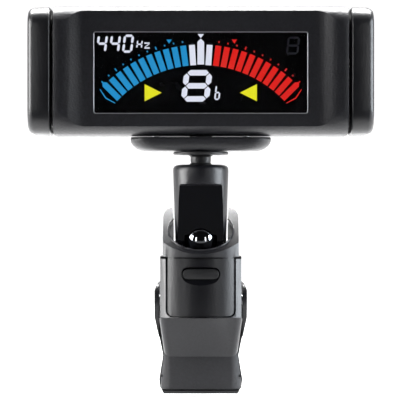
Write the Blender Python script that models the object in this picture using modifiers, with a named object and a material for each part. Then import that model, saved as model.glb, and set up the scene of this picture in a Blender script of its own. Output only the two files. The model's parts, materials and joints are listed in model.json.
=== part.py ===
"""Clip on tuner: a display barrel on an arm with two ball joints, carried by a sprung clip.

Shapes are laid out in millimetres: +X along the barrel, -Y towards the reader of the display, +Z up,
with Z = 0 at the clip's lower tip and Y = 0 through the hinge pin and both balls. Objects are in
metres, measured from the centre of the front jaw pad's gripping face.
"""

import math

import bmesh
import bpy
from mathutils import Vector

MM = 0.001
WELD = 0.01
ORIGIN = Vector((0.0, -0.5, 12.1))

# Turns that lay a shape made along Z along another axis, and an outline drawn on XY across one
QUARTER = math.pi / 2
AXIS_TURNS = {"X": (0.0, QUARTER, 0.0), "Y": (-QUARTER, 0.0, 0.0), "Z": (0.0, 0.0, 0.0)}
OUTLINE_TURNS = {"X": (QUARTER, 0.0, QUARTER), "Y": (QUARTER, 0.0, 0.0), "Z": (0.0, 0.0, 0.0)}

# Barrel
AXIS_Z = 67.8
HALF_LENGTH = 30.65
BARREL_LOW = (-10.0, 54.35)
BARREL_HIGH = (10.0, 81.2)
BARREL_RADII = (5.4, 6.0, 6.0, 4.2)
CAP_INNER, CAP_OUTER = 31.2, 36.0
SCOOP_DEPTH, SCOOP_HALF = 1.48, 29.35
PARTING_FRONT, PARTING_REAR = 0.85, 1.15
WINDOW_HALF, WINDOW_LOW, WINDOW_HIGH = 22.35, 58.72, 75.88
SCREW_PLACES = [(x, z) for x in (-27.0, 27.0) for z in (58.3, 77.3)]
FOOT_SCREW_X = 9.5

# AAA cell
CELL_Y, CELL_R = 3.35, 5.25
CELL_PLUS, CELL_LENGTH = 17.1, 44.5

# Arm and its two balls
UPPER_Z, UPPER_R = 46.4, 3.1
LOWER_Z, LOWER_R = 32.3, 3.4
ARM_SCREW_Z = 38.7
STEM_R = 2.15
BOWL_R, BOWL_WALL = 7.45, 1.35

# Clip
PIVOT_Z = 19.7
DECK_SLOPE = math.radians(38.0)
DECK_FRONT_Z = 29.6
FRONT_Y, FRONT_R = -8.2, 11.6
FRAME_HALF, DECK_HALF, CHANNEL_HALF, POCKET_HALF = 8.5, 7.95, 5.75, 7.35
JAW_TOP_Z = 16.2
JAW_TOP_HALF, JAW_TAPER = 8.65, 0.131
JAW_FACE_Y, JAW_LEAN = -7.2, 0.36
HANDLE_ANGLE = math.radians(43.0)
PIN_HOLE_R = 1.5

# One pivot for each body that moves, and one for the clip itself
PIVOTS = {
    "clip": ORIGIN,
    "rear_lever": Vector((0.0, 0.0, PIVOT_Z)),
    "arm": Vector((0.0, 0.0, LOWER_Z)),
    "socket_liner": Vector((0.0, 0.0, UPPER_Z)),
    "ball_stud": Vector((0.0, 0.0, UPPER_Z)),
    "head": Vector((0.0, 0.0, UPPER_Z)),
    "switch": Vector((CAP_INNER, 0.0, AXIS_Z)),
    "battery_door": Vector((-CAP_INNER, CELL_Y, AXIS_Z)),
}

# Base colour, metallic and roughness
FINISHES = {
    "black": ((0.016, 0.016, 0.019), 0.0, 0.5),
    "dark": ((0.03, 0.03, 0.034), 0.0, 0.45),
    "rubber": ((0.045, 0.045, 0.047), 0.0, 0.75),
    "chrome": ((0.75, 0.76, 0.78), 1.0, 0.08),
    "steel": ((0.55, 0.55, 0.57), 1.0, 0.3),
    "glass": ((0.02, 0.02, 0.03), 0.0, 0.06),
    "white": ((0.75, 0.75, 0.73), 0.0, 0.4),
    "green": ((0.02, 0.16, 0.07), 0.0, 0.4),
    "brass": ((0.7, 0.52, 0.22), 1.0, 0.25),
    "cell": ((0.12, 0.13, 0.15), 0.6, 0.3),
}

for old in list(bpy.data.objects):
    bpy.data.objects.remove(old, do_unlink=True)

parts = bpy.data.collections.new("clip_on_tuner")
cutters = bpy.data.collections.new("cutters")
bpy.context.scene.collection.children.link(parts)
bpy.context.scene.collection.children.link(cutters)

EMPTIES = {}
for body, pivot in PIVOTS.items():
    empty = bpy.data.objects.new("pivot_" + body, None)
    empty.location = (pivot - ORIGIN) * MM
    parts.objects.link(empty)
    EMPTIES[body] = empty


# Outlines

def arc(centre, radius, start, end, steps):
    """Points on an arc, angles in degrees."""
    points = []
    for i in range(steps + 1):
        angle = math.radians(start + (end - start) * i / steps)
        points.append((centre[0] + radius * math.cos(angle), centre[1] + radius * math.sin(angle)))
    return points


def rounded(low, high, radii, steps=5):
    """A rounded rectangle, anticlockwise from its low corner; radii is one number or four."""
    if not isinstance(radii, tuple):
        radii = (radii,) * 4
    corners = (
        (low[0], low[1], 1, 1), (high[0], low[1], -1, 1),
        (high[0], high[1], -1, -1), (low[0], high[1], 1, -1))
    points = []
    for quarter, ((x, y, sx, sy), radius) in enumerate(zip(corners, radii)):
        start = 180.0 + 90.0 * quarter
        points += arc((x + sx * radius, y + sy * radius), radius, start, start + 90.0, steps)
    return points


def stadium(half_width, low, high):
    return rounded((-half_width, low), (half_width, high), (high - low) / 2 - 0.01)


def mirrored(points):
    """An outline from its right half, which runs up from the foot."""
    return points + [(-x, z) for x, z in reversed(points)]


def sphere(radius, start, end, steps, height):
    """(radius, height) points down a sphere between two angles from its top."""
    points = []
    for i in range(steps + 1):
        angle = math.radians(start + (end - start) * i / steps)
        points.append((max(radius * math.sin(angle), 0.0), height + radius * math.cos(angle)))
    return points


def on_axis(axis, outline, level):
    """An outline's points at a level on an axis: (y, z) across X, (x, z) across Y, (x, y) across Z."""
    if axis == "X":
        return [Vector((level, a, b)) for a, b in outline]
    if axis == "Y":
        return [Vector((a, level, b)) for a, b in outline]
    return [Vector((a, b, level)) for a, b in outline]


# Solids: each returns an unlinked object at its place

def from_bmesh(bm, centre):
    """An object from a bmesh in millimetres about a centre."""
    bmesh.ops.scale(bm, verts=bm.verts, vec=(MM, MM, MM))
    mesh = bpy.data.meshes.new("shape")
    bm.to_mesh(mesh)
    bm.free()
    obj = bpy.data.objects.new("shape", mesh)
    obj.location = (Vector(centre) - ORIGIN) * MM
    return obj


def box(low, high):
    low, high = Vector(low), Vector(high)
    bm = bmesh.new()
    bmesh.ops.create_cube(bm, size=1.0)
    bmesh.ops.scale(bm, verts=bm.verts, vec=high - low)
    return from_bmesh(bm, (low + high) / 2)


def turn_to(obj, axis):
    """Turns an object made along Z to lie along another axis."""
    obj.rotation_euler = AXIS_TURNS[axis]
    return obj


def cylinder(axis, centre, radius, low, high, steps=24):
    """A cylinder along an axis from low to high; centre gives its other two coordinates."""
    bm = bmesh.new()
    bmesh.ops.create_cone(bm, cap_ends=True, segments=steps, radius1=radius, radius2=radius, depth=high - low)
    return turn_to(from_bmesh(bm, on_axis(axis, [centre], (low + high) / 2)[0]), axis)


def as_mesh(curved):
    """The mesh of a filled curve, its caps welded; the curve is removed."""
    bpy.context.scene.collection.objects.link(curved)
    bpy.context.view_layer.update()
    evaluated = curved.evaluated_get(bpy.context.evaluated_depsgraph_get())
    mesh = bpy.data.meshes.new_from_object(evaluated)
    bm = bmesh.new()
    bm.from_mesh(mesh)
    bmesh.ops.remove_doubles(bm, verts=bm.verts, dist=WELD * MM)
    bm.to_mesh(mesh)
    bm.free()
    obj = bpy.data.objects.new("shape", mesh)
    obj.matrix_world = curved.matrix_world
    bpy.data.objects.remove(curved, do_unlink=True)
    return obj


def prism(axis, outline, low, high):
    """A flat outline with its thickness along an axis."""
    middle = [(min(values) + max(values)) / 2 for values in zip(*outline)]
    curve = bpy.data.curves.new("outline", "CURVE")
    curve.dimensions = "2D"
    curve.fill_mode = "BOTH"
    curve.extrude = (high - low) / 2 * MM
    spline = curve.splines.new("POLY")
    spline.points.add(len(outline) - 1)
    spline.use_cyclic_u = True
    for target, point in zip(spline.points, outline):
        target.co = ((point[0] - middle[0]) * MM, (point[1] - middle[1]) * MM, 0.0, 1.0)
    curved = bpy.data.objects.new("outline", curve)
    curved.location = (on_axis(axis, [middle], (low + high) / 2)[0] - ORIGIN) * MM
    curved.rotation_euler = OUTLINE_TURNS[axis]
    return as_mesh(curved)


def loft(rings):
    """A skin over rings of equal length, closed by its first and last ring."""
    bm = bmesh.new()
    rows = [[bm.verts.new(point) for point in ring] for ring in rings]
    for low, high in zip(rows, rows[1:]):
        for i in range(len(low)):
            j = (i + 1) % len(low)
            bm.faces.new((low[i], low[j], high[j], high[i]))
    bm.faces.new(rows[0])
    bm.faces.new(rows[-1])
    bmesh.ops.recalc_face_normals(bm, faces=bm.faces)
    middle = sum((v.co for v in bm.verts), Vector()) / len(bm.verts)
    bmesh.ops.translate(bm, verts=bm.verts, vec=-middle)
    return from_bmesh(bm, middle)


def lathe(profile, centre=(0.0, 0.0, 0.0), axis="Z", steps=28, closed=False):
    """(radius, height) points turned about an axis through centre; closed makes a ring."""
    area = sum(a[0] * b[1] - b[0] * a[1] for a, b in zip(profile, profile[1:] + profile[:1]))
    if area > 0:
        profile = profile[::-1]
    bm = bmesh.new()
    verts = [bm.verts.new((radius, 0.0, height)) for radius, height in profile]
    for a, b in zip(verts, verts[1:]):
        bm.edges.new((a, b))
    if closed:
        bm.edges.new((verts[-1], verts[0]))
    obj = turn_to(from_bmesh(bm, centre), axis)
    screw = obj.modifiers.new("turned", "SCREW")
    screw.steps = steps
    screw.render_steps = steps
    screw.use_merge_vertices = True
    screw.merge_threshold = WELD * MM
    screw.use_smooth_shade = True
    return obj


def wire(points, radius):
    """A round wire through points."""
    curve = bpy.data.curves.new("wire", "CURVE")
    curve.dimensions = "3D"
    curve.bevel_depth = radius * MM
    curve.bevel_resolution = 2
    curve.use_fill_caps = True
    curve.render_resolution_u = 0
    spline = curve.splines.new("POLY")
    spline.points.add(len(points) - 1)
    for target, point in zip(spline.points, points):
        target.co = (*((Vector(point) - ORIGIN) * MM), 1.0)
    return bpy.data.objects.new("wire", curve)


def helix(centre, radii, span, turns, phase=0.0, per_turn=12):
    """Points of a coil along X, about a (y, z) centre, from one radius to another."""
    points = []
    steps = round(turns * per_turn)
    for i in range(steps + 1):
        share = i / steps
        angle = phase + 2 * math.pi * turns * share
        radius = radii[0] + (radii[1] - radii[0]) * share
        x = span[0] + (span[1] - span[0]) * share
        points.append((x, centre[0] + radius * math.cos(angle), centre[1] + radius * math.sin(angle)))
    return points


# Nodes and the modifiers that shape them

def node(obj, name, body, finish, smooth=False):
    """Names an object, gives it its material and hangs it on its body's pivot."""
    obj.name = name
    obj.data.name = name
    parts.objects.link(obj)
    obj.parent = EMPTIES[body]
    obj.location = obj.location - EMPTIES[body].location
    if smooth:
        obj.data.shade_smooth()
        obj.data.set_sharp_from_angle(angle=math.radians(35.0))
    colour, metallic, roughness = FINISHES[finish]
    made = bpy.data.materials.new(name)
    made.use_nodes = True
    shader = made.node_tree.nodes["Principled BSDF"]
    shader.inputs["Base Color"].default_value = (*colour, 1.0)
    shader.inputs["Metallic"].default_value = metallic
    shader.inputs["Roughness"].default_value = roughness
    obj.data.materials.append(made)
    return obj


def combine(obj, other, operation, name):
    other.name = f"{obj.name}_{name}"
    other.hide_render = True
    other.display_type = "WIRE"
    cutters.objects.link(other)
    made = obj.modifiers.new(name, "BOOLEAN")
    made.operation = operation
    made.solver = "EXACT"
    made.object = other


def cut(obj, other, name):
    combine(obj, other, "DIFFERENCE", name)


def add(obj, other, name):
    combine(obj, other, "UNION", name)


def keep(obj, other, name):
    combine(obj, other, "INTERSECT", name)


def bevel(obj, width, segments=1):
    made = obj.modifiers.new("edges", "BEVEL")
    made.width = width * MM
    made.segments = segments
    made.limit_method = "ANGLE"
    made.angle_limit = math.radians(40.0)


def cross_slot(screw, axis, centre, low, high, reach):
    """Two crossed slots in a screw's head."""
    for name, across, along in (("slot_a", reach, 0.22), ("slot_b", 0.22, reach)):
        outline = [
            (centre[0] - across, centre[1] - along), (centre[0] + across, centre[1] - along),
            (centre[0] + across, centre[1] + along), (centre[0] - across, centre[1] + along)]
        cut(screw, prism(axis, outline, low, high), name)


# Head

def barrel_outline(inset=0.0):
    """The barrel's (y, z) section, set in all round."""
    low = (BARREL_LOW[0] + inset, BARREL_LOW[1] + inset)
    high = (BARREL_HIGH[0] - inset, BARREL_HIGH[1] - inset)
    return rounded(low, high, tuple(max(radius - inset, 0.8) for radius in BARREL_RADII))


def scoop_outline():
    """Plan of the dished front: a flat floor with a curved ramp up to each end."""
    ramp = ((0.0, -0.01), (1.15, 0.1), (2.25, 0.34), (3.25, 0.67), (4.15, 0.9), (5.05, 1.0))
    right = [(SCOOP_HALF - x, BARREL_LOW[0] + SCOOP_DEPTH * share) for x, share in reversed(ramp)]
    return mirrored(right + [(SCOOP_HALF, BARREL_LOW[0] - 3.0)])


def housing_shell(name, y_low, y_high):
    """One half of the barrel's shell, split on a plane across Y."""
    shell = node(prism("X", barrel_outline(), -HALF_LENGTH, HALF_LENGTH), name, "head", "black", True)
    bevel(shell, 0.45, 2)
    inside = rounded((-6.8, 55.95), (8.75, 79.6), (0.8, 5.0, 5.0, 0.8))
    cut(shell, prism("X", inside, -29.15, 29.15), "inside")
    keep(shell, box((-40.0, y_low, 50.0), (40.0, y_high, 90.0)), "half")
    cut(shell, cylinder("X", (CELL_Y, AXIS_Z), 5.7, -33.0, -28.0, 28), "cell_hole")
    cut(shell, cylinder("X", (0.0, AXIS_Z), 2.3, 28.0, 33.0), "shaft_hole")
    cut(shell, cylinder("Z", (0.0, 0.0), 2.75, 50.0, 57.0), "stud_hole")
    for side, x in (("left", -FOOT_SCREW_X), ("right", FOOT_SCREW_X)):
        cut(shell, cylinder("Z", (x, 0.0), 1.1, 50.0, 57.0, 12), "foot_hole_" + side)
    return shell


def build_housing():
    front = housing_shell("housing_front", -12.0, PARTING_FRONT)
    cut(front, prism("Z", scoop_outline(), 50.0, 86.0), "scoop")
    opening = rounded((-WINDOW_HALF, WINDOW_LOW), (WINDOW_HALF, WINDOW_HIGH), 0.5, 2)
    cut(front, prism("Y", opening, -12.0, -6.0), "window_hole")
    rear = housing_shell("housing_rear", PARTING_REAR, 12.0)
    for i, place in enumerate(SCREW_PLACES, 1):
        add(front, cylinder("Y", place, 1.9, -7.4, 0.6, 16), f"post_{i}")
        cut(front, cylinder("Y", place, 1.0, -5.2, 2.0, 12), f"pilot_{i}")
        add(rear, cylinder("Y", place, 2.6, 1.35, 9.0, 20), f"post_{i}")
        cut(rear, cylinder("Y", place, 2.15, 6.8, 12.0, 20), f"counterbore_{i}")
        cut(rear, cylinder("Y", place, 1.0, 0.0, 8.0, 12), f"clearance_{i}")
        profile = [
            (0.0, 8.3), (1.2, 8.3), (1.75, 7.9), (1.75, 7.1),
            (0.7, 7.1), (0.7, -4.6), (0.3, -4.9), (0.0, -4.9)]
        turned = lathe(profile, (place[0], 0.0, place[1]), "Y", 12)
        screw = node(turned, f"housing_screw_{i}", "head", "steel")
        cross_slot(screw, "Y", place, 7.7, 9.0, 1.1)


def build_display():
    """The window and what lies behind it, front to back."""
    pane = rounded((-WINDOW_HALF + 0.3, WINDOW_LOW + 0.28), (WINDOW_HALF - 0.3, WINDOW_HIGH - 0.28), 0.4, 2)
    window = node(prism("Y", pane, -8.46, -6.3), "display_window", "head", "glass")
    add(window, prism("Y", rounded((-23.2, 57.9), (23.2, 76.7), 0.6, 2), -6.5, -6.05), "flange")
    bevel(node(box((-23.1, -5.75, 58.1), (23.1, -4.95, 76.5)), "lcd_panel", "head", "glass"), 0.15)
    bevel(node(box((-22.7, -4.65, 60.0), (22.7, -3.95, 76.3)), "light_guide", "head", "white"), 0.15)
    node(box((-20.5, -4.65, 58.2), (20.5, -3.85, 59.4)), "contact_strip", "head", "rubber")
    frame = node(box((-24.7, -6.45, 56.4), (24.7, -3.75, 78.2)), "display_frame", "head", "dark")
    bevel(frame, 0.3)
    cut(frame, box((-23.5, -8.0, 57.6), (23.5, -3.0, 77.0)), "opening")


def build_electronics():
    outline = rounded((-24.3, 58.5), (19.7, 78.4), 1.0, 3)
    board = node(prism("Y", outline, -3.45, -2.65), "main_board", "head", "green")
    for i, place in enumerate([(x, z) for x in (-22.5, 17.9) for z in (60.3, 76.6)], 1):
        cut(board, cylinder("Y", place, 0.8, -5.0, 0.0, 12), f"hole_{i}")
    bevel(node(box((-18.0, -2.35, 74.2), (-11.5, -1.35, 77.6)), "controller_chip", "head", "dark"), 0.2)
    node(prism("Y", stadium(3.0, 75.0, 77.4), -2.35, -0.9), "timing_crystal", "head", "steel")
    disc = [(0.0, 56.8), (2.6, 56.8), (2.6, 56.6), (4.0, 56.6), (4.0, 56.25), (0.0, 56.25)]
    node(lathe(disc, (16.0, 0.7, 0.0), steps=20), "vibration_sensor", "head", "brass")


def build_battery_bay():
    minus = CELL_PLUS - CELL_LENGTH
    profile = [
        (0.0, CELL_PLUS), (1.8, CELL_PLUS), (1.9, CELL_PLUS - 0.15), (1.9, 16.2), (3.2, 16.1),
        (4.9, 16.1), (CELL_R, 15.7), (CELL_R, minus + 0.4), (4.95, minus + 0.1), (3.6, minus + 0.1),
        (3.4, minus), (0.0, minus)]
    node(lathe(profile, (0.0, CELL_Y, AXIS_Z), "X"), "battery_cell", "head", "cell")
    bay = (CELL_Y, AXIS_Z)
    trough = arc(bay, CELL_R + 0.35, 200.0, 318.0, 9) + arc(bay, CELL_R + 1.1, 318.0, 200.0, 9)
    cradle = node(prism("X", trough, -23.5, 19.2), "battery_cradle", "head", "dark")
    add(cradle, box((18.2, -1.8, 61.6), (19.3, 8.2, 73.6)), "end_wall")
    for side, x in (("left", -20.0), ("right", 4.6)):
        add(cradle, box((x, 1.4, 56.25), (x + 1.6, 5.4, 62.0)), "leg_" + side)
    plate = rounded((-0.4, 64.3), (7.1, 71.3), 1.2, 3)
    node(prism("X", plate, 17.45, 17.85), "plus_contact", "head", "brass")
    coil = helix(bay, (3.9, 1.7), (-29.45, -27.85), 3.0)
    node(wire(coil, 0.25), "minus_contact_spring", "battery_door", "brass")


def cap(side, name, body):
    """An end cap with a slightly smaller neck on its inner side."""
    rings = (
        (30.95, 1.9), (CAP_INNER, 1.9), (CAP_INNER, 0.5), (31.55, 0.15),
        (34.7, 0.22), (35.4, 0.5), (35.83, 0.95), (CAP_OUTER, 1.6))
    skin = loft([on_axis("X", barrel_outline(inset), side * x) for x, inset in rings])
    return node(skin, name, body, "black", True)


def build_caps():
    battery_cap = cap(-1, "battery_cap", "battery_door")
    add(battery_cap, cylinder("X", (CELL_Y, AXIS_Z), 5.35, -33.0, -29.75, 28), "spigot")
    for i in range(4):
        z = 63.0 + 3.2 * i
        cut(battery_cap, box((-34.4, 9.5, z - 0.4), (-32.2, 12.0, z + 0.4)), f"grip_{i + 1}")
    switch_cap = cap(1, "shuttle_cap", "switch")
    cut(switch_cap, prism("X", rounded((-6.4, 58.0), (6.4, 77.6), 2.5, 3), 29.0, 34.3), "pocket")
    add(switch_cap, cylinder("X", (0.0, AXIS_Z), 3.0, 31.3, 35.0), "boss")
    cut(switch_cap, cylinder("X", (0.0, AXIS_Z), 1.85, 29.0, 34.2), "bore")


def build_switch():
    outline = rounded((-3.3, 64.4), (3.3, 71.2), 0.6, 2)
    case = node(prism("X", outline, 20.3, 28.7), "switch_body", "head", "dark")
    cut(case, cylinder("X", (0.0, AXIS_Z), 1.9, 23.9, 32.0), "bore")
    profile = [(0.0, 33.9), (1.3, 33.9), (1.55, 33.6), (1.55, 24.5), (1.3, 24.2), (0.0, 24.2)]
    node(lathe(profile, (0.0, 0.0, AXIS_Z), "X", 20), "switch_shaft", "switch", "white")
    coil = helix((0.0, AXIS_Z), (3.9, 3.9), (31.7, 33.7), 3.5)
    node(wire(coil, 0.28), "switch_return_spring", "switch", "steel")


def build_foot():
    sections = (
        (54.05, 14.6, 6.5), (53.6, 14.75, 6.6), (52.9, 14.6, 6.5), (52.25, 14.2, 6.3),
        (51.7, 13.5, 6.0), (51.35, 12.7, 5.6), (51.2, 12.0, 5.3))
    rings = []
    for z, half_x, half_y in sections:
        outline = rounded((-half_x, -half_y), (half_x, half_y), min(4.2, half_y - 0.6))
        rings.append(on_axis("Z", outline, z))
    foot = node(loft(rings), "mount_foot", "head", "black", True)
    cut(foot, cylinder("Z", (0.0, 0.0), 2.75, 50.0, 57.0), "stud_hole")
    for i, x in enumerate((-FOOT_SCREW_X, FOOT_SCREW_X), 1):
        cut(foot, cylinder("Z", (x, 0.0), 1.0, 52.3, 57.0, 12), f"pilot_{i}")
        profile = [
            (0.0, 57.4), (1.0, 57.4), (1.5, 57.1), (1.5, 56.25), (0.7, 56.25), (0.7, 52.7), (0.0, 52.6)]
        screw = node(lathe(profile, (x, 0.0, 0.0), steps=12), f"foot_screw_{i}", "head", "steel")
        cross_slot(screw, "Z", (x, 0.0), 56.9, 58.0, 1.0)


# Arm

def build_ball_stud():
    neck = math.degrees(math.asin((STEM_R - 0.1) / UPPER_R))
    profile = [
        (0.0, 58.2), (1.4, 58.2), (1.6, 58.0), (1.6, 56.0), (2.35, 56.0), (2.35, 51.05),
        (5.55, 51.05), (5.8, 50.9), (5.8, 50.5), (5.6, 50.35), (2.6, 50.35), (STEM_R, 49.95), (STEM_R, 49.1),
        *sphere(UPPER_R, neck, 180.0, 10, UPPER_Z)]
    node(lathe(profile), "ball_stud", "ball_stud", "dark")
    nut = [(1.9, 56.3), (3.1, 56.3), (3.1, 57.7), (1.9, 57.7)]
    node(lathe(nut, steps=6, closed=True), "stud_nut", "ball_stud", "steel")
    cup = sphere(3.27, 180.0, 84.0, 7, UPPER_Z) + sphere(3.72, 84.0, 180.0, 7, UPPER_Z)
    node(lathe(cup), "socket_liner", "socket_liner", "white")


def arm_shell(name, y_low, y_high):
    """One half of the arm, split on the plane through both balls."""
    profile = [
        (0.0, 48.35), (4.4, 48.3), (5.2, 48.15), (5.62, 47.9), (5.82, 47.5), (5.85, 46.9),
        (5.62, 40.0), (5.4, 33.5), *sphere(5.4, 90.0, 126.0, 4, LOWER_Z), (0.0, 29.1)]
    shell = node(lathe(profile, steps=32), name, "arm", "black")
    socket = [(0.0, 49.5), (3.05, 49.5), (2.95, 47.8), (3.63, 47.8), *sphere(3.92, 69.0, 180.0, 8, UPPER_Z)]
    cut(shell, lathe(socket), "upper_socket")
    socket = [*sphere(3.65, 0.0, 130.0, 9, LOWER_Z), (6.1, 26.2), (0.0, 26.2)]
    cut(shell, lathe(socket), "lower_socket")
    keep(shell, box((-10.0, y_low, 20.0), (10.0, y_high, 60.0)), "half")
    return shell


def build_arm():
    front = arm_shell("arm_front", -10.0, -0.12)
    relief = [(-1.4, 25.0), (-3.56, 43.9), (-3.9, 44.2), (-9.0, 44.5), (-9.0, 25.0)]
    cut(front, prism("X", relief, -9.0, 9.0), "relief")
    cut(front, prism("Y", rounded((-3.45, 24.0), (3.45, 33.6), 0.5, 2), -9.0, 2.0), "ball_window")
    cut(front, cylinder("Y", (0.0, ARM_SCREW_Z), 1.0, -2.1, 3.0, 12), "pilot")
    rear = arm_shell("arm_rear", 0.12, 10.0)
    cut(rear, cylinder("Y", (0.0, ARM_SCREW_Z), 1.0, -2.0, 9.0, 12), "clearance")
    cut(rear, cylinder("Y", (0.0, ARM_SCREW_Z), 1.8, 3.4, 9.0, 20), "counterbore")
    profile = [(0.0, 4.9), (1.0, 4.9), (1.5, 4.6), (1.5, 3.7), (0.7, 3.7), (0.7, -1.8), (0.0, -1.8)]
    screw = node(lathe(profile, (0.0, 0.0, ARM_SCREW_Z), "Y", 12), "arm_screw", "arm", "steel")
    cross_slot(screw, "Y", (0.0, ARM_SCREW_Z), 4.3, 6.0, 1.0)


def build_lower_stud():
    shank = 1.25
    neck = 180.0 - math.degrees(math.asin(shank / LOWER_R))
    profile = [
        *sphere(LOWER_R, 0.0, neck, 11, LOWER_Z), (shank, 26.45), (2.3, 26.25), (2.6, 26.05), (2.6, 25.4),
        (shank, 25.4), (shank, 22.5), (0.0, 22.5)]
    node(lathe(profile), "lower_ball_stud", "clip", "chrome")
    nut = [(1.5, 22.55), (2.3, 22.55), (2.3, 23.15), (1.5, 23.15)]
    node(lathe(nut, steps=16, closed=True), "stud_push_nut", "clip", "steel")


# Clip

def front_face(radius, low, high):
    """A drum whose front is the clip's rounded front."""
    return cylinder("Z", (0.0, FRONT_Y + FRONT_R), radius, low, high, 64)


def jaw_block():
    """The front jaw's taper: it narrows and its face leans back towards its foot."""
    rings = []
    for z in (4.0, JAW_TOP_Z + 0.1):
        half = JAW_TOP_HALF - JAW_TAPER * (JAW_TOP_Z - z)
        face = JAW_FACE_Y + JAW_LEAN * (JAW_TOP_Z - z)
        rings.append(on_axis("Z", rounded((-half, face), (half, 8.0), (1.4, 1.4, 0.5, 0.5)), z))
    return loft(rings)


def deck_height(y):
    return DECK_FRONT_Z + (y - FRONT_Y) * math.tan(DECK_SLOPE)


def build_clip_body():
    boss = arc((0.0, PIVOT_Z), 3.6, 0.0, -90.0, 7)
    side = [
        (4.9, 29.9), (3.75, 24.0), *boss, (-2.6, 16.1), (-2.6, 7.5), (-4.15, 7.5),
        (-7.25, 16.1), (-9.5, 16.6), (-9.5, 29.9)]
    clip = node(prism("X", side, -9.0, 9.0), "clip_body", "clip", "black", True)
    ears = rounded((-DECK_HALF, 28.3), (DECK_HALF, 39.3), (0.1, 0.1, 2.1, 2.1))
    add(clip, prism("Y", ears, -9.3, 5.35), "deck")
    inside = [(-7.3, 18.0), (-7.3, 28.2), (2.0, 28.2), (12.0, 31.0), (12.0, 10.0), (0.5, 10.0), (-2.0, 16.4)]
    cut(clip, prism("X", inside, -6.5, 6.5), "inside")
    shell = sphere(BOWL_R + BOWL_WALL, 84.0, 180.0, 8, LOWER_Z)
    add(clip, lathe([(0.0, shell[0][1]), *shell], steps=32), "bowl_shell")
    over = [(-20.0, deck_height(-20.0)), (14.0, deck_height(14.0)), (-20.0, 60.0)]
    cut(clip, prism("X", over, -12.0, 12.0), "deck_slope")
    front = front_face(FRONT_R, JAW_TOP_Z, 45.0)
    add(front, jaw_block(), "jaw")
    keep(clip, front, "front_curve")
    outline = rounded((-POCKET_HALF, 16.35), (POCKET_HALF, 28.95), (1.5, 1.5, 0.3, 0.3))
    pocket = prism("Y", outline, -14.0, -3.0)
    cut(pocket, front_face(FRONT_R - 1.3, 10.0, 40.0), "floor")
    cut(clip, pocket, "cover_pocket")
    half = [
        *arc((6.3, 9.6), 1.5, 270.0, 350.0, 5), (JAW_TOP_HALF + 0.01, 16.0), (FRAME_HALF, 16.4),
        (FRAME_HALF, 29.05), (DECK_HALF + 0.02, 29.05), (DECK_HALF + 0.02, 45.0)]
    keep(clip, prism("Y", mirrored(half), -9.0, 5.9), "silhouette")
    cut(clip, lathe(sphere(BOWL_R, 0.0, 180.0, 14, LOWER_Z), steps=32), "bowl")
    flare = CHANNEL_HALF + 0.2
    channel = [(CHANNEL_HALF, 31.2), (CHANNEL_HALF, 35.2), (flare, 39.6), (flare, 50.0)]
    cut(clip, prism("Y", mirrored(channel), 0.0, 14.0), "keyhole")
    cut(clip, cylinder("Z", (0.0, 0.0), PIN_HOLE_R, 21.0, 27.0), "stud_hole")
    cut(clip, cylinder("X", (0.0, PIVOT_Z), PIN_HOLE_R, -12.0, 12.0), "pin_hole")
    for name, side in (("left", -1.0), ("right", 1.0)):
        low, high = sorted((side * 7.2, side * 9.0))
        cut(clip, box((low, -9.0, 28.55), (high, -4.4, 29.05)), "groove_" + name)


def build_clip_front():
    cover = node(front_face(FRONT_R - 0.35, 16.0, 29.5), "clip_cover", "clip", "black", True)
    cut(cover, front_face(FRONT_R - 1.15, 10.0, 40.0), "hollow")
    outline = rounded((-POCKET_HALF + 0.3, 16.65), (POCKET_HALF - 0.3, 28.65), (1.2, 1.2, 0.3, 0.3))
    keep(cover, prism("Y", outline, -12.0, -2.5), "outline")
    levels = (((5.96, 21.78, 27.22), -8.7), ((4.0, 24.25, 26.7), -7.05), ((4.0, 24.25, 26.7), -4.0))
    cut(cover, loft([on_axis("Y", stadium(*size), y) for size, y in levels]), "recess")
    tab = node(prism("Y", stadium(3.72, 24.4, 26.45), -7.55, -6.75), "latch_tab", "clip", "dark")
    bevel(tab, 0.2, 2)
    add(tab, box((-2.4, -6.9, 24.5), (2.4, -5.6, 25.1)), "neck")
    add(tab, box((-3.6, -6.0, 22.9), (3.6, -5.5, 25.0)), "flange")


def build_front_pad():
    outline = rounded((-7.6, 9.0), (7.6, 15.2), (2.4, 2.4, 1.0, 1.0))
    pad = node(prism("Y", outline, -2.3, -0.5), "front_jaw_pad", "clip", "rubber")
    for i, z in enumerate((10.4, 13.8), 1):
        cut(pad, box((-10.0, -0.95, z - 0.3), (10.0, 1.0, z + 0.3)), f"groove_{i}")


def on_handle(along, out):
    """The (y, z) point that far along the thumb plate and that far out from the pin."""
    sine, cosine = math.sin(HANDLE_ANGLE), math.cos(HANDLE_ANGLE)
    return (along * sine + out * cosine, PIVOT_Z + along * cosine - out * sine)


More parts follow.
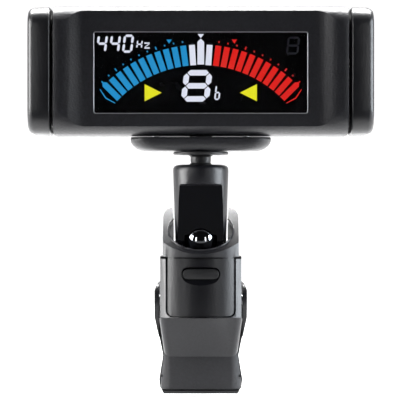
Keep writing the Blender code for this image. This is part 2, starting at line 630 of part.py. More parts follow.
def build_rear_lever():
    web = [
        (-0.1, 0.6), (-0.1, 0.15), (0.1, 0.0), (3.0, 0.0), (3.5, 0.6), (3.7, 3.0), (3.9, 14.3),
        on_handle(0.5, 6.0), on_handle(12.0, 6.2), on_handle(20.5, 6.0), on_handle(21.6, 5.6),
        on_handle(21.9, 4.9), on_handle(21.5, 4.4), on_handle(20.5, 4.2), on_handle(0.6, 4.2),
        (2.4, 15.7), (1.75, 15.2), (1.75, 0.6)]
    lever = node(prism("X", web, -9.7, 9.7), "rear_lever", "rear_lever", "black", True)
    cheek = [
        *arc((0.0, PIVOT_Z), 3.8, 60.0, 200.0, 9), (-2.1, 15.0), (-1.9, 10.5), (-0.9, 8.2), (2.2, 8.2),
        on_handle(-2.5, 5.0), on_handle(1.0, 5.4), on_handle(14.0, 5.4), on_handle(14.0, 4.6),
        on_handle(9.0, 2.6)]
    add(lever, prism("X", cheek, -9.7, -8.8), "cheek_left")
    add(lever, prism("X", cheek, 8.8, 9.7), "cheek_right")
    half = [
        (7.4, -0.5), (8.6, 1.2), (8.8, 3.0), (8.0, 8.0), (8.4, 10.2), (9.1, 13.4), (9.7, 16.2),
        (9.7, 21.9), (9.3, 23.0), (8.2, 23.8), (8.2, 28.5), (7.9, 31.6), (6.2, 33.4)]
    keep(lever, prism("Y", mirrored(half), -12.0, 30.0), "outline")
    cut(lever, cylinder("X", (0.0, PIVOT_Z), PIN_HOLE_R, -12.0, 12.0), "pin_hole")
    for i in range(4):
        add(lever, cylinder("X", on_handle(10.5 + 2.1 * i, 6.0), 0.55, -6.3, 6.3, 12), f"rib_{i + 1}")


def build_rear_pad():
    edge = [(8.45, 1.45), (8.3, 0.75), (6.9, -0.1), (6.3, -0.2)]
    pad = node(prism("Z", mirrored(edge), 0.95, 14.9), "rear_jaw_pad", "rear_lever", "rubber", True)
    taper = [(8.5, 0.0), (8.5, 3.0), (7.75, 8.3), (7.75, 16.0)]
    keep(pad, prism("Y", mirrored(taper), -2.0, 3.0), "taper")
    for i, z in enumerate((10.4, 13.3), 1):
        cut(pad, box((-10.0, -1.0, z - 0.3), (10.0, 0.25, z + 0.3)), f"groove_{i}")
    for name, low in (("left", -9.0), ("right", 8.0)):
        cut(pad, box((low, -1.0, 3.4), (low + 1.0, 2.0, 4.0)), "notch_" + name)


def build_hinge():
    profile = [(0.0, -9.65), (0.9, -9.65), (1.2, -9.4), (1.2, 9.4), (0.9, 9.65), (0.0, 9.65)]
    node(lathe(profile, (0.0, 0.0, PIVOT_Z), "X", 20), "hinge_pin", "clip", "steel")
    half_coil, out = 2.9, 3.55
    turns = 6.0 + (360.0 - math.degrees(HANDLE_ANGLE) - 180.0) / 360.0
    coil = helix((0.0, PIVOT_Z), (2.1, 2.1), (-half_coil, half_coil), turns, math.pi)
    legs = ((-half_coil, -5.0, 22.9), (half_coil, *on_handle(11.5, out)))
    node(wire([legs[0], *coil, legs[1]], 0.34), "torsion_spring", "clip", "steel")


build_housing()
build_display()
build_electronics()
build_battery_bay()
build_caps()
build_switch()
build_foot()
build_ball_stud()
build_arm()
build_lower_stud()
build_clip_body()
build_clip_front()
build_front_pad()
build_rear_lever()
build_rear_pad()
build_hinge()
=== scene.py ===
"""Studio view of the clip on tuner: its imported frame, dressed with edges, finishes and a lit display."""

import json
import math

import bmesh
import bpy
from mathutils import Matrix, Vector

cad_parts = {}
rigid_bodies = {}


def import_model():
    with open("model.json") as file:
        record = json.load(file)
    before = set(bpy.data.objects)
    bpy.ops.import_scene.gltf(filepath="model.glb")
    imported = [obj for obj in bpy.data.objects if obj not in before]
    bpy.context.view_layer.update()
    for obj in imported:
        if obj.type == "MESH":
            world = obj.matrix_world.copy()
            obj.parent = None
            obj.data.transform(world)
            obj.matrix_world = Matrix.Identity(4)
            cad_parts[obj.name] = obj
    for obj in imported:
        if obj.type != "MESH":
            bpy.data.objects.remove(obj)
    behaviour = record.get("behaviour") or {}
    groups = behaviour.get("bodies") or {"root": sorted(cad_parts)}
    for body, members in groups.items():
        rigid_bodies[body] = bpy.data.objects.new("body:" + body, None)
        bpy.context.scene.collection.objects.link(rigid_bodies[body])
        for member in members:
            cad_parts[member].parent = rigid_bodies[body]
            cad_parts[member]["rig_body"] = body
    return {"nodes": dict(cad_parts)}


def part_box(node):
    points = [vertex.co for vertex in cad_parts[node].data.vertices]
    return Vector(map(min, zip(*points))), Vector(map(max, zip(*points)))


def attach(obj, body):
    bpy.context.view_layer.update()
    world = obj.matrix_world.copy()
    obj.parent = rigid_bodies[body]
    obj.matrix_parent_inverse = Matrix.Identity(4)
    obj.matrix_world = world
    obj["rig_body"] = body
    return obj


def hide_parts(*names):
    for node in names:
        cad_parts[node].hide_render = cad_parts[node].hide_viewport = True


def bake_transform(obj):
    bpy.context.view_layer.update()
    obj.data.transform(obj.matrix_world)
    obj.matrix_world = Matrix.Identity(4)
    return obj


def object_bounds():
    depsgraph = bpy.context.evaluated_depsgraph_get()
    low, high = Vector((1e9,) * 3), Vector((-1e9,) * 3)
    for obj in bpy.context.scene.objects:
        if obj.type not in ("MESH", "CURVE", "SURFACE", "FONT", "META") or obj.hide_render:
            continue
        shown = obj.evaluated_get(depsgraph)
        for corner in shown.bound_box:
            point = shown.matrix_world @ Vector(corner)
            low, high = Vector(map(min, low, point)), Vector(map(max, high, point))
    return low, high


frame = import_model()
cad_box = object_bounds()

MM = 0.001
LOW, HIGH = (Vector(corner) for corner in cad_box)
CENTRE = (LOW + HIGH) / 2
WIDTH = HIGH.x - LOW.x

# Angles under which neighbouring faces are one flat, or one smooth surface
FLAT_ANGLE = math.radians(0.6)
SHARP_ANGLE = math.radians(32.0)
WELD = 0.002 * MM
EDGE_SEGMENTS = 2


# Finishes

def principled(name, colour, roughness, metallic=0.0):
    """A material whose shader has these uniform values, and that shader."""
    made = bpy.data.materials.new(name)
    made.use_nodes = True
    shader = made.node_tree.nodes["Principled BSDF"]
    shader.inputs["Base Color"].default_value = (*colour, 1.0)
    shader.inputs["Roughness"].default_value = roughness
    shader.inputs["Metallic"].default_value = metallic
    return made, shader


def noise(made, scale, detail=3.0):
    """A noise texture in the object's own space, in features per metre."""
    nodes, links = made.node_tree.nodes, made.node_tree.links
    place = nodes.new("ShaderNodeTexCoord")
    texture = nodes.new("ShaderNodeTexNoise")
    texture.inputs["Scale"].default_value = scale
    texture.inputs["Detail"].default_value = detail
    links.new(place.outputs["Object"], texture.inputs["Vector"])
    return texture


def add_grain(made, shader, scale, depth):
    """A moulded grain: bumps of that depth in metres."""
    bump = made.node_tree.nodes.new("ShaderNodeBump")
    bump.inputs["Strength"].default_value = 1.0
    bump.inputs["Distance"].default_value = depth
    made.node_tree.links.new(noise(made, scale).outputs["Fac"], bump.inputs["Height"])
    made.node_tree.links.new(bump.outputs["Normal"], shader.inputs["Normal"])


def vary(made, socket, scale, low, high):
    """Lets a noise move a shader value between low and high."""
    ramp = made.node_tree.nodes.new("ShaderNodeMapRange")
    ramp.inputs["To Min"].default_value = low
    ramp.inputs["To Max"].default_value = high
    made.node_tree.links.new(noise(made, scale).outputs["Fac"], ramp.inputs["Value"])
    made.node_tree.links.new(ramp.outputs["Result"], socket)


def speckle(made, shader, colour, scale, spread):
    """Lets the colour wander either way by that share, at the grain's own scale."""
    nodes, links = made.node_tree.nodes, made.node_tree.links
    mix = nodes.new("ShaderNodeMix")
    mix.data_type = "RGBA"
    mix.inputs["A"].default_value = (*[part * (1 - spread) for part in colour], 1.0)
    mix.inputs["B"].default_value = (*[part * (1 + spread) for part in colour], 1.0)
    links.new(noise(made, scale).outputs["Fac"], mix.inputs["Factor"])
    links.new(mix.outputs["Result"], shader.inputs["Base Color"])


def plastic(name, colour, roughness, grain_scale, grain_depth, spread=0.5):
    """A moulded plastic: fine grain, and a gloss that wanders a little as handled plastic's does."""
    made, shader = principled(name, colour, roughness)
    add_grain(made, shader, grain_scale, grain_depth)
    speckle(made, shader, colour, grain_scale, spread)
    vary(made, shader.inputs["Roughness"], 260.0, roughness - 0.05, roughness + 0.06)
    return made


def metal(name, colour, low, high):
    """A metal with fine handling marks in its gloss."""
    made, shader = principled(name, colour, low, 1.0)
    vary(made, shader.inputs["Roughness"], 900.0, low, high)
    return made


def glowing(name, colour, strength):
    """A lit display element, its light slightly uneven as a backlight's is."""
    made, shader = principled(name, (0.01, 0.01, 0.01), 0.4)
    shader.inputs["Emission Color"].default_value = (*colour, 1.0)
    vary(made, shader.inputs["Emission Strength"], 90.0, strength * 0.94, strength * 1.06)
    return made


def clear(name):
    """The display's clear window."""
    made, shader = principled(name, (0.93, 0.94, 0.96), 0.02)
    shader.inputs["Transmission Weight"].default_value = 1.0
    shader.inputs["IOR"].default_value = 1.25
    vary(made, shader.inputs["Roughness"], 400.0, 0.01, 0.03)
    return made


FINISHES = {
    "housing": plastic("housing_plastic", (0.0085, 0.0085, 0.011), 0.38, 2300.0, 0.00007, 0.9),
    "cap": plastic("cap_plastic", (0.003, 0.003, 0.0045), 0.32, 2300.0, 0.00003),
    "arm": plastic("arm_plastic", (0.0045, 0.0045, 0.0068), 0.36, 2600.0, 0.00002),
    # The arm's polished flat: its gloss is real, its darker tone than the arm's plastic is painted shade
    "gloss": plastic("gloss_plastic_with_painted_shade", (0.0006, 0.0008, 0.002), 0.06, 1500.0, 0.000001),
    "clip": plastic("clip_plastic", (0.014, 0.014, 0.0165), 0.34, 2600.0, 0.000012),
    "cover": plastic("cover_plastic", (0.002, 0.002, 0.0035), 0.33, 2400.0, 0.00003, 0.8),
    "dark": plastic("dark_plastic", (0.01, 0.01, 0.011), 0.4, 2800.0, 0.00001),
    "rubber": plastic("pad_rubber", (0.014, 0.014, 0.0165), 0.42, 2200.0, 0.00003),
    "white": plastic("white_plastic", (0.72, 0.72, 0.7), 0.45, 2400.0, 0.00001),
    "board": plastic("board_green", (0.02, 0.14, 0.06), 0.4, 2400.0, 0.00001),
    "cell": plastic("cell_sleeve", (0.09, 0.1, 0.12), 0.3, 1200.0, 0.000005),
    "panel": plastic("panel_glass", (0.0012, 0.0012, 0.0022), 0.25, 900.0, 0.000002),
    # The bowl's bead: its gloss is real, its lighter tone than the clip's plastic is a painted highlight
    "lip": plastic("lip_plastic_with_painted_highlight", (0.03, 0.03, 0.034), 0.16, 2600.0, 0.000002),
    "chrome": metal("ball_chrome", (0.52, 0.54, 0.58), 0.05, 0.1),
    "steel": metal("steel", (0.5, 0.5, 0.52), 0.24, 0.36),
    "brass": metal("brass", (0.66, 0.48, 0.2), 0.2, 0.32),
    # A light grey metal for the line round the window, a painted highlight on the opening's edge
    "painted_edge_highlight": metal("painted_window_highlight", (0.4, 0.4, 0.43), 0.42, 0.52),
    "window": clear("window_clear"),
    "lit_white": glowing("lit_white", (0.78, 0.8, 0.9), 1.0),
    "lit_blue": glowing("lit_blue", (0.012, 0.28, 0.6), 1.0),
    "lit_red": glowing("lit_red", (0.74, 0.01, 0.006), 1.0),
    "lit_yellow": glowing("lit_yellow", (0.82, 0.8, 0.012), 1.0),
    "unlit": glowing("unlit_segment", (0.004, 0.004, 0.007), 1.0),
}


# The CAD pieces, with rounded edges and smooth curves

def middle_of(name):
    """The middle of a CAD node's box."""
    low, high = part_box(name)
    return (low + high) / 2


def smooth(obj):
    obj.data.shade_smooth()
    obj.data.set_sharp_from_angle(angle=SHARP_ANGLE)


def dress(name, finish, edge):
    """A copy of a CAD node with its edges rounded; it stands for the node on the same body."""
    node = frame["nodes"][name]
    bm = bmesh.new()
    bm.from_mesh(node.data)
    bmesh.ops.remove_doubles(bm, verts=bm.verts, dist=WELD)
    bmesh.ops.dissolve_limit(bm, angle_limit=FLAT_ANGLE, verts=bm.verts, edges=bm.edges)
    mesh = bpy.data.meshes.new(name + "_dressed")
    bm.to_mesh(mesh)
    bm.free()
    obj = bpy.data.objects.new(name + "_dressed", mesh)
    bpy.context.scene.collection.objects.link(obj)
    mesh.materials.append(FINISHES[finish])
    smooth(obj)
    rounded = obj.modifiers.new("edges", "BEVEL")
    rounded.width = edge * MM
    rounded.segments = EDGE_SEGMENTS
    rounded.limit_method = "ANGLE"
    rounded.angle_limit = SHARP_ANGLE
    rounded.harden_normals = True
    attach(obj, node["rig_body"])
    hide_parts(name)


def refinish(name, finish):
    """A CAD node that keeps its shape and gets a finish."""
    data = frame["nodes"][name].data
    data.materials.clear()
    data.materials.append(FINISHES[finish])


# Each moulded piece's finish, material slot and edge rounding in millimetres
DRESSED = {
    "housing_front": ("housing", "black_plastic", 0.24),
    "housing_rear": ("housing", "black_plastic", 0.24),
    "battery_cap": ("cap", "black_plastic", 0.24),
    "shuttle_cap": ("cap", "black_plastic", 0.24),
    "mount_foot": ("housing", "black_plastic", 0.14),
    "ball_stud": ("dark", "dark_plastic", 0.12),
    "arm_front": ("arm", "black_plastic", 0.14),
    "arm_rear": ("arm", "black_plastic", 0.14),
    "clip_body": ("clip", "black_plastic", 0.12),
    "clip_cover": ("cover", "black_plastic", 0.14),
    "latch_tab": ("dark", "dark_plastic", 0.08),
    "rear_lever": ("clip", "black_plastic", 0.18),
    "front_jaw_pad": ("rubber", "rubber", 0.15),
    "rear_jaw_pad": ("rubber", "rubber", 0.15),
}

# The pieces that keep their CAD mesh, by finish
REFINISHED = {
    "board": ("main_board",),
    "brass": ("plus_contact", "minus_contact_spring", "vibration_sensor"),
    "cell": ("battery_cell",),
    "dark": ("display_frame", "battery_cradle", "controller_chip", "switch_body", "contact_strip"),
    "panel": ("lcd_panel",),
    "steel": (
        "housing_screw_1", "housing_screw_2", "housing_screw_3", "housing_screw_4", "foot_screw_1",
        "foot_screw_2", "arm_screw", "hinge_pin", "stud_nut", "stud_push_nut", "timing_crystal",
        "switch_return_spring"),
    "white": ("light_guide", "socket_liner", "switch_shaft"),
    "window": ("display_window",),
}

for name, (finish, slot, edge) in DRESSED.items():
    dress(name, finish, edge)


# The lean of the flat down the arm's front, and how closely a face must follow it
RELIEF_LEAN = math.atan2(2.16, 18.9)
SAME_WAY = 0.9999


def gloss_and_painted_shade_flat():
    """The flat down the arm's front is polished, with a darker colour than the arm's plastic as painted
    shade: its faces look forward and a little down.
    """
    mesh = bpy.data.objects["arm_front_dressed"].data
    mesh.materials.append(FINISHES["gloss"])
    flat = Vector((0.0, -math.cos(RELIEF_LEAN), -math.sin(RELIEF_LEAN)))
    for polygon in mesh.polygons:
        if polygon.normal.dot(flat) > SAME_WAY:
            polygon.material_index = 1


gloss_and_painted_shade_flat()
for finish, names in REFINISHED.items():
    for name in names:
        refinish(name, finish)


# The lit display, drawn as thin raised segments on the panel's face

WINDOW = middle_of("display_window")
SCREEN = Vector((WINDOW.x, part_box("lcd_panel")[0].y, WINDOW.z))
SEGMENT_THICK = 0.05 * MM

# Meter, in millimetres about the screen's centre
METER_CENTRE_Z = -22.3
METER_OUTER, METER_INNER = 28.25, 24.0
METER_STEP = math.radians(3.76)
METER_COUNT = 12
BAR_HALF, BAR_POINT = 0.61, 0.7
CENTRE_BAR_HALF, CENTRE_BAR_START, CENTRE_BAR_END = 0.7, METER_INNER + 0.1, METER_OUTER + 0.55
DOT_RADIUS, DOT_HALF = METER_OUTER + 0.78, 0.13
LONG_DOT, SHORT_DOT, LONG_EVERY = 0.32, 0.16, 5
END_MARK_GAP = 0.72
END_MARK_REACH = (0.16, 0.5, 0.75)
POINTER_HALF, POINTER_HEIGHT, CENTRE_POINTER_HALF = 0.55, 0.85, 0.65
FLAT_POINTER, SHARP_POINTER, CENTRE_POINTER = (-6.6, 7.0), (7.0, 7.0), (0.0, 8.15)

# Readings: each figure's width, height and stroke, and each low left corner
PITCH_SIZE, PITCH_CORNER, PITCH_SPACING = (2.15, 3.8, 0.5), (-21.9, 4.25), 2.72
UNIT_SIZE, UNIT_CORNER = (1.25, 1.85, 0.3), (-13.5, 5.1)
UNIT_Z_SIZE, UNIT_Z_CORNER = (1.1, 1.3, 0.28), (-11.75, 5.1)
NOTE_SIZE, NOTE_CORNER = (5.9, 6.6, 1.15), (-4.2, -5.95)
FLAT_SIZE, FLAT_CORNER = (1.15, 3.1, 0.32), (2.75, -5.6)
UNLIT_SIZE, UNLIT_CORNER = (2.6, 3.7, 0.42), (17.7, 3.9)
TUNING_ARROW = [(-11.7, -2.3), (-11.7, -5.85), (-8.15, -4.08)]


def segments(name, finish, outlines):
    """Thin plates on the panel, one for each (x, z) outline in millimetres about the screen's centre."""
    bm = bmesh.new()
    for outline in outlines:
        front = [bm.verts.new((x * MM, -2 * SEGMENT_THICK, z * MM)) for x, z in outline]
        face = bm.faces.new(front)
        grown = bmesh.ops.extrude_face_region(bm, geom=[face])["geom"]
        backs = [item for item in grown if isinstance(item, bmesh.types.BMVert)]
        bmesh.ops.translate(bm, verts=backs, vec=(0.0, SEGMENT_THICK, 0.0))
    bmesh.ops.recalc_face_normals(bm, faces=bm.faces)
    mesh = bpy.data.meshes.new(name)
    bm.to_mesh(mesh)
    bm.free()
    obj = bpy.data.objects.new(name, mesh)
    obj.location = SCREEN
    bpy.context.scene.collection.objects.link(obj)
    mesh.materials.append(FINISHES[finish])
    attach(obj, "head")


def polar(angle, radius, across=0.0):
    """A point at an angle from the meter's upright, shifted sideways along its bar's width."""
    x = radius * math.sin(angle) + across * math.cos(angle)
    z = METER_CENTRE_Z + radius * math.cos(angle) - across * math.sin(angle)
    return (x, z)


def bar(step, inner=METER_INNER, outer=METER_OUTER, half=BAR_HALF, point=0.0):
    """One bar of the meter, pointed at its outer end by that much."""
    angle = step * METER_STEP
    tip = [polar(angle, outer + point)] if point else []
    return [
        polar(angle, inner, -half), polar(angle, inner, half), polar(angle, outer, half),
        *tip, polar(angle, outer, -half)]


def dot(step):
    """The small mark outside a bar, longer at every fifth one."""
    reach = LONG_DOT if step % LONG_EVERY == 0 else SHORT_DOT
    return bar(step, DOT_RADIUS - reach, DOT_RADIUS + reach, DOT_HALF)


def end_mark(side):
    """The open arrow outside the meter's last bar: a thin stroke that bows out to a tip."""
    angle = side * (METER_COUNT + END_MARK_GAP) * METER_STEP
    middle = (METER_INNER + METER_OUTER) / 2
    thin, inner_tip, outer_tip = (side * reach for reach in END_MARK_REACH)
    return [
        polar(angle, METER_INNER, 0.0), polar(angle, METER_INNER, thin),
        polar(angle, middle, outer_tip), polar(angle, METER_OUTER, thin),
        polar(angle, METER_OUTER, 0.0), polar(angle, middle, inner_tip)]


def pointer_down(x, top, half=POINTER_HALF):
    """A small triangle with its point down."""
    return [(x - half, top), (x, top - POINTER_HEIGHT), (x + half, top)]


# Seven-segment figures: each stroke is named by its place
STROKES = {
    "8": ("top", "top_left", "top_right", "middle", "low_left", "low_right", "bottom"),
    "4": ("top_left", "top_right", "middle", "low_right"),
    "0": ("top", "top_left", "top_right", "low_left", "low_right", "bottom"),
    "b": ("top_left", "middle", "low_left", "low_right", "bottom"),
    "h": ("top_left", "top_right", "middle", "low_left", "low_right"),
}
SLANT = 0.12
STROKE_GAP = 0.12


def figure(character, corner, width, height, stroke):
    """The strokes of a slanted seven-segment figure from its low left corner."""
    half, gap = stroke / 2, stroke * STROKE_GAP
    left, right = half, width - half
    low, mid, top = half, height / 2, height - half
    flat = {"bottom": low, "middle": mid, "top": top}
    upright = {
        "low_left": (left, low, mid), "low_right": (right, low, mid),
        "top_left": (left, mid, top), "top_right": (right, mid, top)}
    outlines = []
    for place in STROKES[character]:
        if place in flat:
            z = flat[place]
            a, b = left + gap, right - gap
            shape = [
                (a, z), (a + half, z - half), (b - half, z - half),
                (b, z), (b - half, z + half), (a + half, z + half)]
        else:
            x, a, b = upright[place]
            a, b = a + gap, b - gap
            shape = [
                (x, a), (x + half, a + half), (x + half, b - half),
                (x, b), (x - half, b - half), (x - half, a + half)]
        outlines.append([(corner[0] + px + SLANT * pz, corner[1] + pz) for px, pz in shape])
    return outlines


def small_z(corner, width, height, stroke):
    """A small z: two flat strokes and the slope between them."""
    x, z = corner
    right, top = x + width, z + height
    clear_of = 1.2 * stroke
    return [
        [(x, z), (right, z), (right, z + stroke), (x, z + stroke)],
        [(x, top - stroke), (right, top - stroke), (right, top), (x, top)],
        [(x, z + clear_of), (x + stroke, z + clear_of),
         (right, top - clear_of), (right - stroke, top - clear_of)]]


def build_display():
    """The meter in two colours, its white middle, the readings and the tuning arrows."""
    last = METER_COUNT
    blue = [bar(step) for step in range(-last + 1, -1)]
    red = [bar(step) for step in range(2, last)]
    blue.append(bar(-last, point=BAR_POINT))
    red.append(bar(last, point=BAR_POINT))
    blue += [dot(step) for step in range(-last, -1)]
    red += [dot(step) for step in range(2, last + 1)]
    blue += [end_mark(-1), pointer_down(*FLAT_POINTER)]
    red += [end_mark(1), pointer_down(*SHARP_POINTER)]
    segments("meter_flat_bars", "lit_blue", blue)
    segments("meter_sharp_bars", "lit_red", red)
    middle = bar(0, CENTRE_BAR_START, CENTRE_BAR_END, CENTRE_BAR_HALF, BAR_POINT)
    white = [bar(-1), bar(1), middle, pointer_down(*CENTRE_POINTER, CENTRE_POINTER_HALF)]
    for i, character in enumerate("440"):
        corner = (PITCH_CORNER[0] + PITCH_SPACING * i, PITCH_CORNER[1])
        white += figure(character, corner, *PITCH_SIZE)
    white += figure("h", UNIT_CORNER, *UNIT_SIZE)
    white += small_z(UNIT_Z_CORNER, *UNIT_Z_SIZE)
    white += figure("8", NOTE_CORNER, *NOTE_SIZE)
    white += figure("b", FLAT_CORNER, *FLAT_SIZE)
    segments("display_readings", "lit_white", white)
    facing = [(-x, z) for x, z in TUNING_ARROW]
    segments("tuning_arrows", "lit_yellow", [TUNING_ARROW, facing])
    segments("unlit_figure", "unlit", figure("8", UNLIT_CORNER, *UNLIT_SIZE))


def line_along(name, points, thick, finish, closed):
    """A round line of that radius through the points, as a ring or with capped ends."""
    curve = bpy.data.curves.new(name, "CURVE")
    curve.dimensions = "3D"
    curve.bevel_depth = thick
    curve.bevel_resolution = 3
    curve.use_fill_caps = not closed
    spline = curve.splines.new("POLY")
    spline.points.add(len(points) - 1)
    spline.use_cyclic_u = closed
    for target, point in zip(spline.points, points):
        target.co = (*point, 1.0)
    obj = bpy.data.objects.new(name, curve)
    bpy.context.scene.collection.objects.link(obj)
    curve.materials.append(FINISHES[finish])
    return obj


# The window's opening in the housing's flat front, which is set back from the barrel's front
PANE_HALF_X, PANE_HALF_Z = 22.2 * MM, 8.44 * MM
PANE_CORNER, CORNER_STEPS = 0.45 * MM, 4
# The painted highlight line's depth behind the housing's front, and its radius
HIGHLIGHT_LINE_DEPTH, HIGHLIGHT_LINE_THICK = 1.52 * MM, 0.07 * MM


def build_painted_window_highlight():
    """A painted highlight round the window: a thin closed light grey strip on the opening's edge, standing
    in for the light that edge catches.
    """
    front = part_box("housing_front")[0].y + HIGHLIGHT_LINE_DEPTH
    points = []
    for quarter, (side, up) in enumerate(((1, 1), (-1, 1), (-1, -1), (1, -1))):
        for i in range(CORNER_STEPS + 1):
            angle = math.radians(90.0 * (quarter + i / CORNER_STEPS))
            x = SCREEN.x + side * (PANE_HALF_X - PANE_CORNER) + PANE_CORNER * math.cos(angle)
            z = SCREEN.z + up * (PANE_HALF_Z - PANE_CORNER) + PANE_CORNER * math.sin(angle)
            points.append((x, front, z))
    painted_edge_highlight = line_along("painted_window_highlight", points, HIGHLIGHT_LINE_THICK, "painted_edge_highlight", True)
    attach(painted_edge_highlight, "head")


build_display()
build_painted_window_highlight()


# The chrome ball and the bead round its bowl

TURN_STEPS, BALL_STEPS = 64, 24

# The ball's shank, then its flange and foot: radius as a share of the shank's, height above the foot
SHANK_R = 1.25 * MM
FLANGE = ((1.0, 3.95), (1.85, 3.75), (2.08, 3.55), (2.08, 2.9), (1.0, 2.9), (1.0, 0.0), (0.0, 0.0))

# The deck's front edge above the frame's origin in millimetres, its slope, and the bowl's sphere
DECK_FRONT_Z, DECK_SLOPE, BOWL_R = 17.5, math.radians(38.0), 7.45

# The bead runs round the front from ear to ear and stops this many degrees behind the ball
LIP_BEHIND, LIP_STEPS, LIP_THICK = 32.0, 60, 0.2 * MM


def turned(name, profile, centre, finish):
    """(radius, height) points turned about the vertical through centre, top to bottom."""
    bm = bmesh.new()
    verts = [bm.verts.new((radius, 0.0, height)) for radius, height in profile]
    for a, b in zip(verts, verts[1:]):
        bm.edges.new((a, b))
    mesh = bpy.data.meshes.new(name)
    bm.to_mesh(mesh)
    bm.free()
    obj = bpy.data.objects.new(name, mesh)
    obj.location = centre
    bpy.context.scene.collection.objects.link(obj)
    screw = obj.modifiers.new("turned", "SCREW")
    screw.steps = TURN_STEPS
    screw.render_steps = TURN_STEPS
    screw.use_merge_vertices = True
    screw.merge_threshold = 0.001 * MM
    mesh.materials.append(FINISHES[finish])
    return obj


def ball_centre():
    """The lower ball's centre and radius; the ball is the top of its stud and as wide."""
    low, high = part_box("lower_ball_stud")
    radius = (high.x - low.x) / 2
    middle = middle_of("lower_ball_stud")
    return Vector((middle.x, middle.y, high.z - radius)), radius


def build_ball():
    """The lower ball with its shank and flange, finer than the CAD's."""
    centre, radius = ball_centre()
    neck = math.pi - math.asin(SHANK_R / radius)
    profile = []
    for i in range(BALL_STEPS + 1):
        angle = neck * i / BALL_STEPS
        profile.append((radius * math.sin(angle), radius * math.cos(angle)))
    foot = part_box("lower_ball_stud")[0].z - centre.z
    for share, rise in FLANGE:
        profile.append((SHANK_R * share, foot + rise * MM))
    ball = turned("chrome_ball", profile, centre, "chrome")
    smooth(ball)
    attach(ball, "clip")
    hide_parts("lower_ball_stud")


def build_bowl_lip():
    """A fine bead on the circle where the ball's bowl meets the sloping deck, in a lighter grey than the
    clip as a painted highlight.
    """
    centre, _radius = ball_centre()
    axis_y = middle_of("hinge_pin").y
    front_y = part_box("clip_body")[0].y
    rise = DECK_FRONT_Z * MM + (axis_y - front_y) * math.tan(DECK_SLOPE) - centre.z
    depth = rise * math.cos(DECK_SLOPE)
    radius = math.sqrt((BOWL_R * MM) ** 2 - depth ** 2)
    out = Vector((0.0, -math.sin(DECK_SLOPE), math.cos(DECK_SLOPE)))
    up = Vector((0.0, math.cos(DECK_SLOPE), math.sin(DECK_SLOPE)))
    middle = Vector((0.0, axis_y, centre.z)) + out * depth
    points = []
    for i in range(LIP_STEPS + 1):
        angle = math.radians((180.0 + 2 * LIP_BEHIND) * i / LIP_STEPS - LIP_BEHIND)
        points.append(middle + radius * (math.cos(angle) * Vector((1.0, 0.0, 0.0)) - math.sin(angle) * up))
    lip = line_along("bowl_lip", points, LIP_THICK, "lip", False)
    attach(lip, "clip")


build_ball()
build_bowl_lip()


# The torsion spring, whose outer leg lies along the lever's thumb plate

COIL_HALF, COIL_R, WIRE_R = 2.9 * MM, 2.1 * MM, 0.34 * MM
HANDLE_ANGLE = math.radians(43.0)
FULL_TURNS, COIL_STEPS = 6.0, 240

# The inner leg's end above the pin, and the outer leg's end along and out from the thumb plate
INNER_LEG_RISE = 3.2 * MM
OUTER_LEG_ALONG, OUTER_LEG_OUT = 11.5 * MM, 3.55 * MM


def spring_path():
    """The wire's middle: a leg up to the clip, the coil about the pin, and a leg to the thumb plate."""
    pin = middle_of("hinge_pin")
    turns = FULL_TURNS + (math.pi - HANDLE_ANGLE) / (2 * math.pi)
    points = [(-COIL_HALF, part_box("torsion_spring")[0].y + WIRE_R, pin.z + INNER_LEG_RISE)]
    for i in range(COIL_STEPS + 1):
        share = i / COIL_STEPS
        angle = math.pi + 2 * math.pi * turns * share
        y = pin.y + COIL_R * math.cos(angle)
        z = pin.z + COIL_R * math.sin(angle)
        points.append((COIL_HALF * (2 * share - 1), y, z))
    sine, cosine = math.sin(HANDLE_ANGLE), math.cos(HANDLE_ANGLE)
    y = pin.y + OUTER_LEG_ALONG * sine + OUTER_LEG_OUT * cosine
    z = pin.z + OUTER_LEG_ALONG * cosine - OUTER_LEG_OUT * sine
    points.append((COIL_HALF, y, z))
    return points


def build_torsion_spring():
    """A round wire swept along the CAD spring's coil and legs."""
    path = line_along("spring_path", spring_path(), WIRE_R, "steel", False)
    bpy.context.view_layer.update()
    evaluated = path.evaluated_get(bpy.context.evaluated_depsgraph_get())
    mesh = bpy.data.meshes.new_from_object(evaluated)
    bpy.data.objects.remove(path, do_unlink=True)
    spring = bpy.data.objects.new("torsion_spring_wire", mesh)
    bpy.context.scene.collection.objects.link(spring)
    mesh.materials.clear()
    mesh.materials.append(FINISHES["steel"])
    smooth(spring)
    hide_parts("torsion_spring")
    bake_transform(spring)


build_torsion_spring()


# Studio: glowing floor and backdrop, side and top softboxes, two front strips and the camera

# The floor is pale round the object and dark in front, so nothing bright faces the display
PALE, FRONT_SHADE = 0.3, 0.005
FLOOR_NEAR, FLOOR_FRONT = -0.022, -0.075
FLOOR_GLOW, BACKDROP_GLOW = 2.6, 3.0
SHEET_ROUGHNESS, SHEET_HALF_WIDTH = 0.9, 1.6

# The sheets' run from front to back, the backdrop's height, and its curve up from the floor
FLOOR_START, FLOOR_END, BACKDROP_Y, BACKDROP_TALL = -0.9, 0.09, 1.1, 2.2
SWEEP_R, SWEEP_STEPS = 0.3, 12
FLOOR_GAP = 0.6 * MM

# Lights: place about the object's centre and size in metres, then power in watts
SIDE_PLACE, SIDE_SIZE, LEFT_POWER, RIGHT_POWER = (0.4, -0.065, 0.0), (0.26, 0.45), 5.6, 5.0
TOP_PLACE, TOP_SIZE, TOP_POWER = (0.0, 0.14, 0.42), (0.6, 0.26), 18.0
STRIP_PLACE, STRIP_SIZE, STRIP_POWER = (0.3, -0.44, 0.02), (0.07, 0.4), 0.4
WHITE, COOL = (1.0, 1.0, 1.0), (0.88, 0.94, 1.0)
WORLD_STRENGTH = 0.005

# Camera: the field's width is this many times the object's, and the aim is a little off its centre
LENS, SENSOR = 220.0, 36.0
FIELD_SHARE = 1.171
AIM_SIDE, AIM_UP = -0.16 * MM, 0.26 * MM


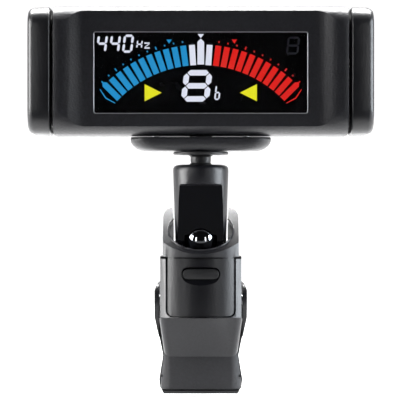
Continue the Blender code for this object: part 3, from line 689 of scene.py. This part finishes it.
def fade_forward(made, shader):
    """Lets a stage sheet's colour and glow fall from pale to dark towards the front."""
    nodes, links = made.node_tree.nodes, made.node_tree.links
    place = nodes.new("ShaderNodeTexCoord")
    split = nodes.new("ShaderNodeSeparateXYZ")
    ramp = nodes.new("ShaderNodeMapRange")
    ramp.inputs["From Min"].default_value = FLOOR_FRONT
    ramp.inputs["From Max"].default_value = FLOOR_NEAR
    ramp.inputs["To Min"].default_value = FRONT_SHADE
    ramp.inputs["To Max"].default_value = PALE
    links.new(place.outputs["Object"], split.inputs["Vector"])
    links.new(split.outputs["Y"], ramp.inputs["Value"])
    links.new(ramp.outputs["Result"], shader.inputs["Base Color"])
    links.new(ramp.outputs["Result"], shader.inputs["Emission Color"])


def stage_sheet(name, path, glow):
    """A pale sheet along a (y, z) path, lit from within by that much."""
    bm = bmesh.new()
    rows = [[bm.verts.new((side * SHEET_HALF_WIDTH, y, z)) for y, z in path] for side in (-1, 1)]
    for i in range(len(path) - 1):
        bm.faces.new((rows[0][i], rows[1][i], rows[1][i + 1], rows[0][i + 1]))
    mesh = bpy.data.meshes.new(name)
    bm.to_mesh(mesh)
    bm.free()
    sheet = bpy.data.objects.new(name, mesh)
    bpy.context.scene.collection.objects.link(sheet)
    made, shader = principled(name, (PALE, PALE, PALE), SHEET_ROUGHNESS)
    fade_forward(made, shader)
    shader.inputs["Emission Strength"].default_value = glow
    mesh.materials.append(made)
    smooth(sheet)


def build_stage():
    """A pale floor under the object and a bright backdrop behind it."""
    floor_z = LOW.z - FLOOR_GAP
    stage_sheet("studio_floor", [(FLOOR_START, floor_z), (FLOOR_END, floor_z)], FLOOR_GLOW)
    rise = [(FLOOR_END, floor_z)]
    for i in range(SWEEP_STEPS + 1):
        angle = math.pi / 2 * i / SWEEP_STEPS
        y = BACKDROP_Y - SWEEP_R + SWEEP_R * math.sin(angle)
        z = floor_z + SWEEP_R - SWEEP_R * math.cos(angle)
        rise.append((y, z))
    rise.append((BACKDROP_Y, floor_z + BACKDROP_TALL))
    stage_sheet("studio_backdrop", rise, BACKDROP_GLOW)


def softbox(name, place, size, power, colour=WHITE, side=1):
    """An area light aimed at the object's centre, on that side of it."""
    light = bpy.data.lights.new(name, "AREA")
    light.shape = "RECTANGLE"
    light.size, light.size_y = size
    light.energy = power
    light.color = colour
    obj = bpy.data.objects.new(name, light)
    obj.location = CENTRE + Vector((side * place[0], place[1], place[2]))
    obj.rotation_euler = (CENTRE - obj.location).to_track_quat("-Z", "Y").to_euler()
    bpy.context.scene.collection.objects.link(obj)


def build_camera():
    """A long lens straight on to the front, framed as wide as the object's width needs."""
    distance = WIDTH * FIELD_SHARE * LENS / SENSOR
    data = bpy.data.cameras.new("camera")
    data.lens = LENS
    data.sensor_width = SENSOR
    data.clip_start = 0.01
    data.clip_end = 10.0
    camera = bpy.data.objects.new("camera", data)
    aim = Vector((CENTRE.x + AIM_SIDE, 0.0, CENTRE.z + AIM_UP))
    camera.location = aim + Vector((0.0, -distance, 0.0))
    camera.rotation_euler = (math.pi / 2, 0.0, 0.0)
    bpy.context.scene.collection.objects.link(camera)
    bpy.context.scene.camera = camera


def build_lights():
    """A softbox at each side, one above and behind, two weak strips in front and a faint world."""
    softbox("left_softbox", SIDE_PLACE, SIDE_SIZE, LEFT_POWER, side=-1)
    softbox("right_softbox", SIDE_PLACE, SIDE_SIZE, RIGHT_POWER, COOL)
    softbox("top_softbox", TOP_PLACE, TOP_SIZE, TOP_POWER)
    for name, side in (("left_strip", -1), ("right_strip", 1)):
        softbox(name, STRIP_PLACE, STRIP_SIZE, STRIP_POWER, side=side)
    world = bpy.data.worlds.new("studio")
    world.use_nodes = True
    background = world.node_tree.nodes["Background"]
    background.inputs["Color"].default_value = (*WHITE, 1.0)
    background.inputs["Strength"].default_value = WORLD_STRENGTH
    bpy.context.scene.world = world


build_stage()
build_camera()
build_lights()
bpy.context.scene.view_settings.view_transform = "Standard"
